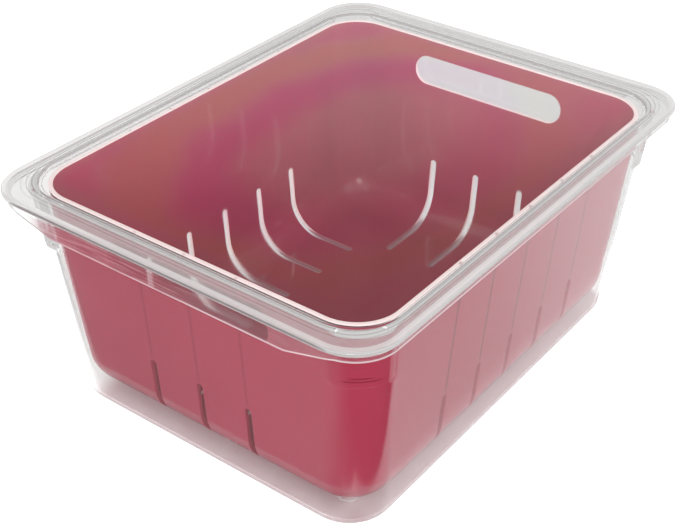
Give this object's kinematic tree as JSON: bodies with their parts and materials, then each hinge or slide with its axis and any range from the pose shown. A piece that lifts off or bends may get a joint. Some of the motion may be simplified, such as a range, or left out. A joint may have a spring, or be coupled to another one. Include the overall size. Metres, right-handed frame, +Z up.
{
  "type": "lidded fridge bin",
  "caption": "Lidded clear plastic fridge bin with a slotted colander basket standing inside it.",
  "frame": {"origin": "bottom centre of the whole object, on the plane that the outer bin's four feet stand on", "axes": "+Z up, +X across the width, +Y along the length; the two hand slots and the two finger grips are at -Y and +Y"},
  "size_m": [0.21, 0.2732, 0.1172],
  "materials": {
    "clear_plastic": "clear, polished",
    "raspberry_plastic": "opaque, glossy"
  },
  "bodies": {
    "bin": {"outer_bin": "clear_plastic"},
    "basket": {"basket": "raspberry_plastic"},
    "lid": {"lid": "clear_plastic"}
  },
  "joints": [
    {"name": "basket_lift", "type": "slide", "parent": "bin", "child": "basket", "axis": [0, 0, 1], "range_m": [0, 0.13]},
    {"name": "lid_lift", "type": "slide", "parent": "basket", "child": "lid", "axis": [0, 0, 1], "range_m": [0, 0.08]}
  ]
}
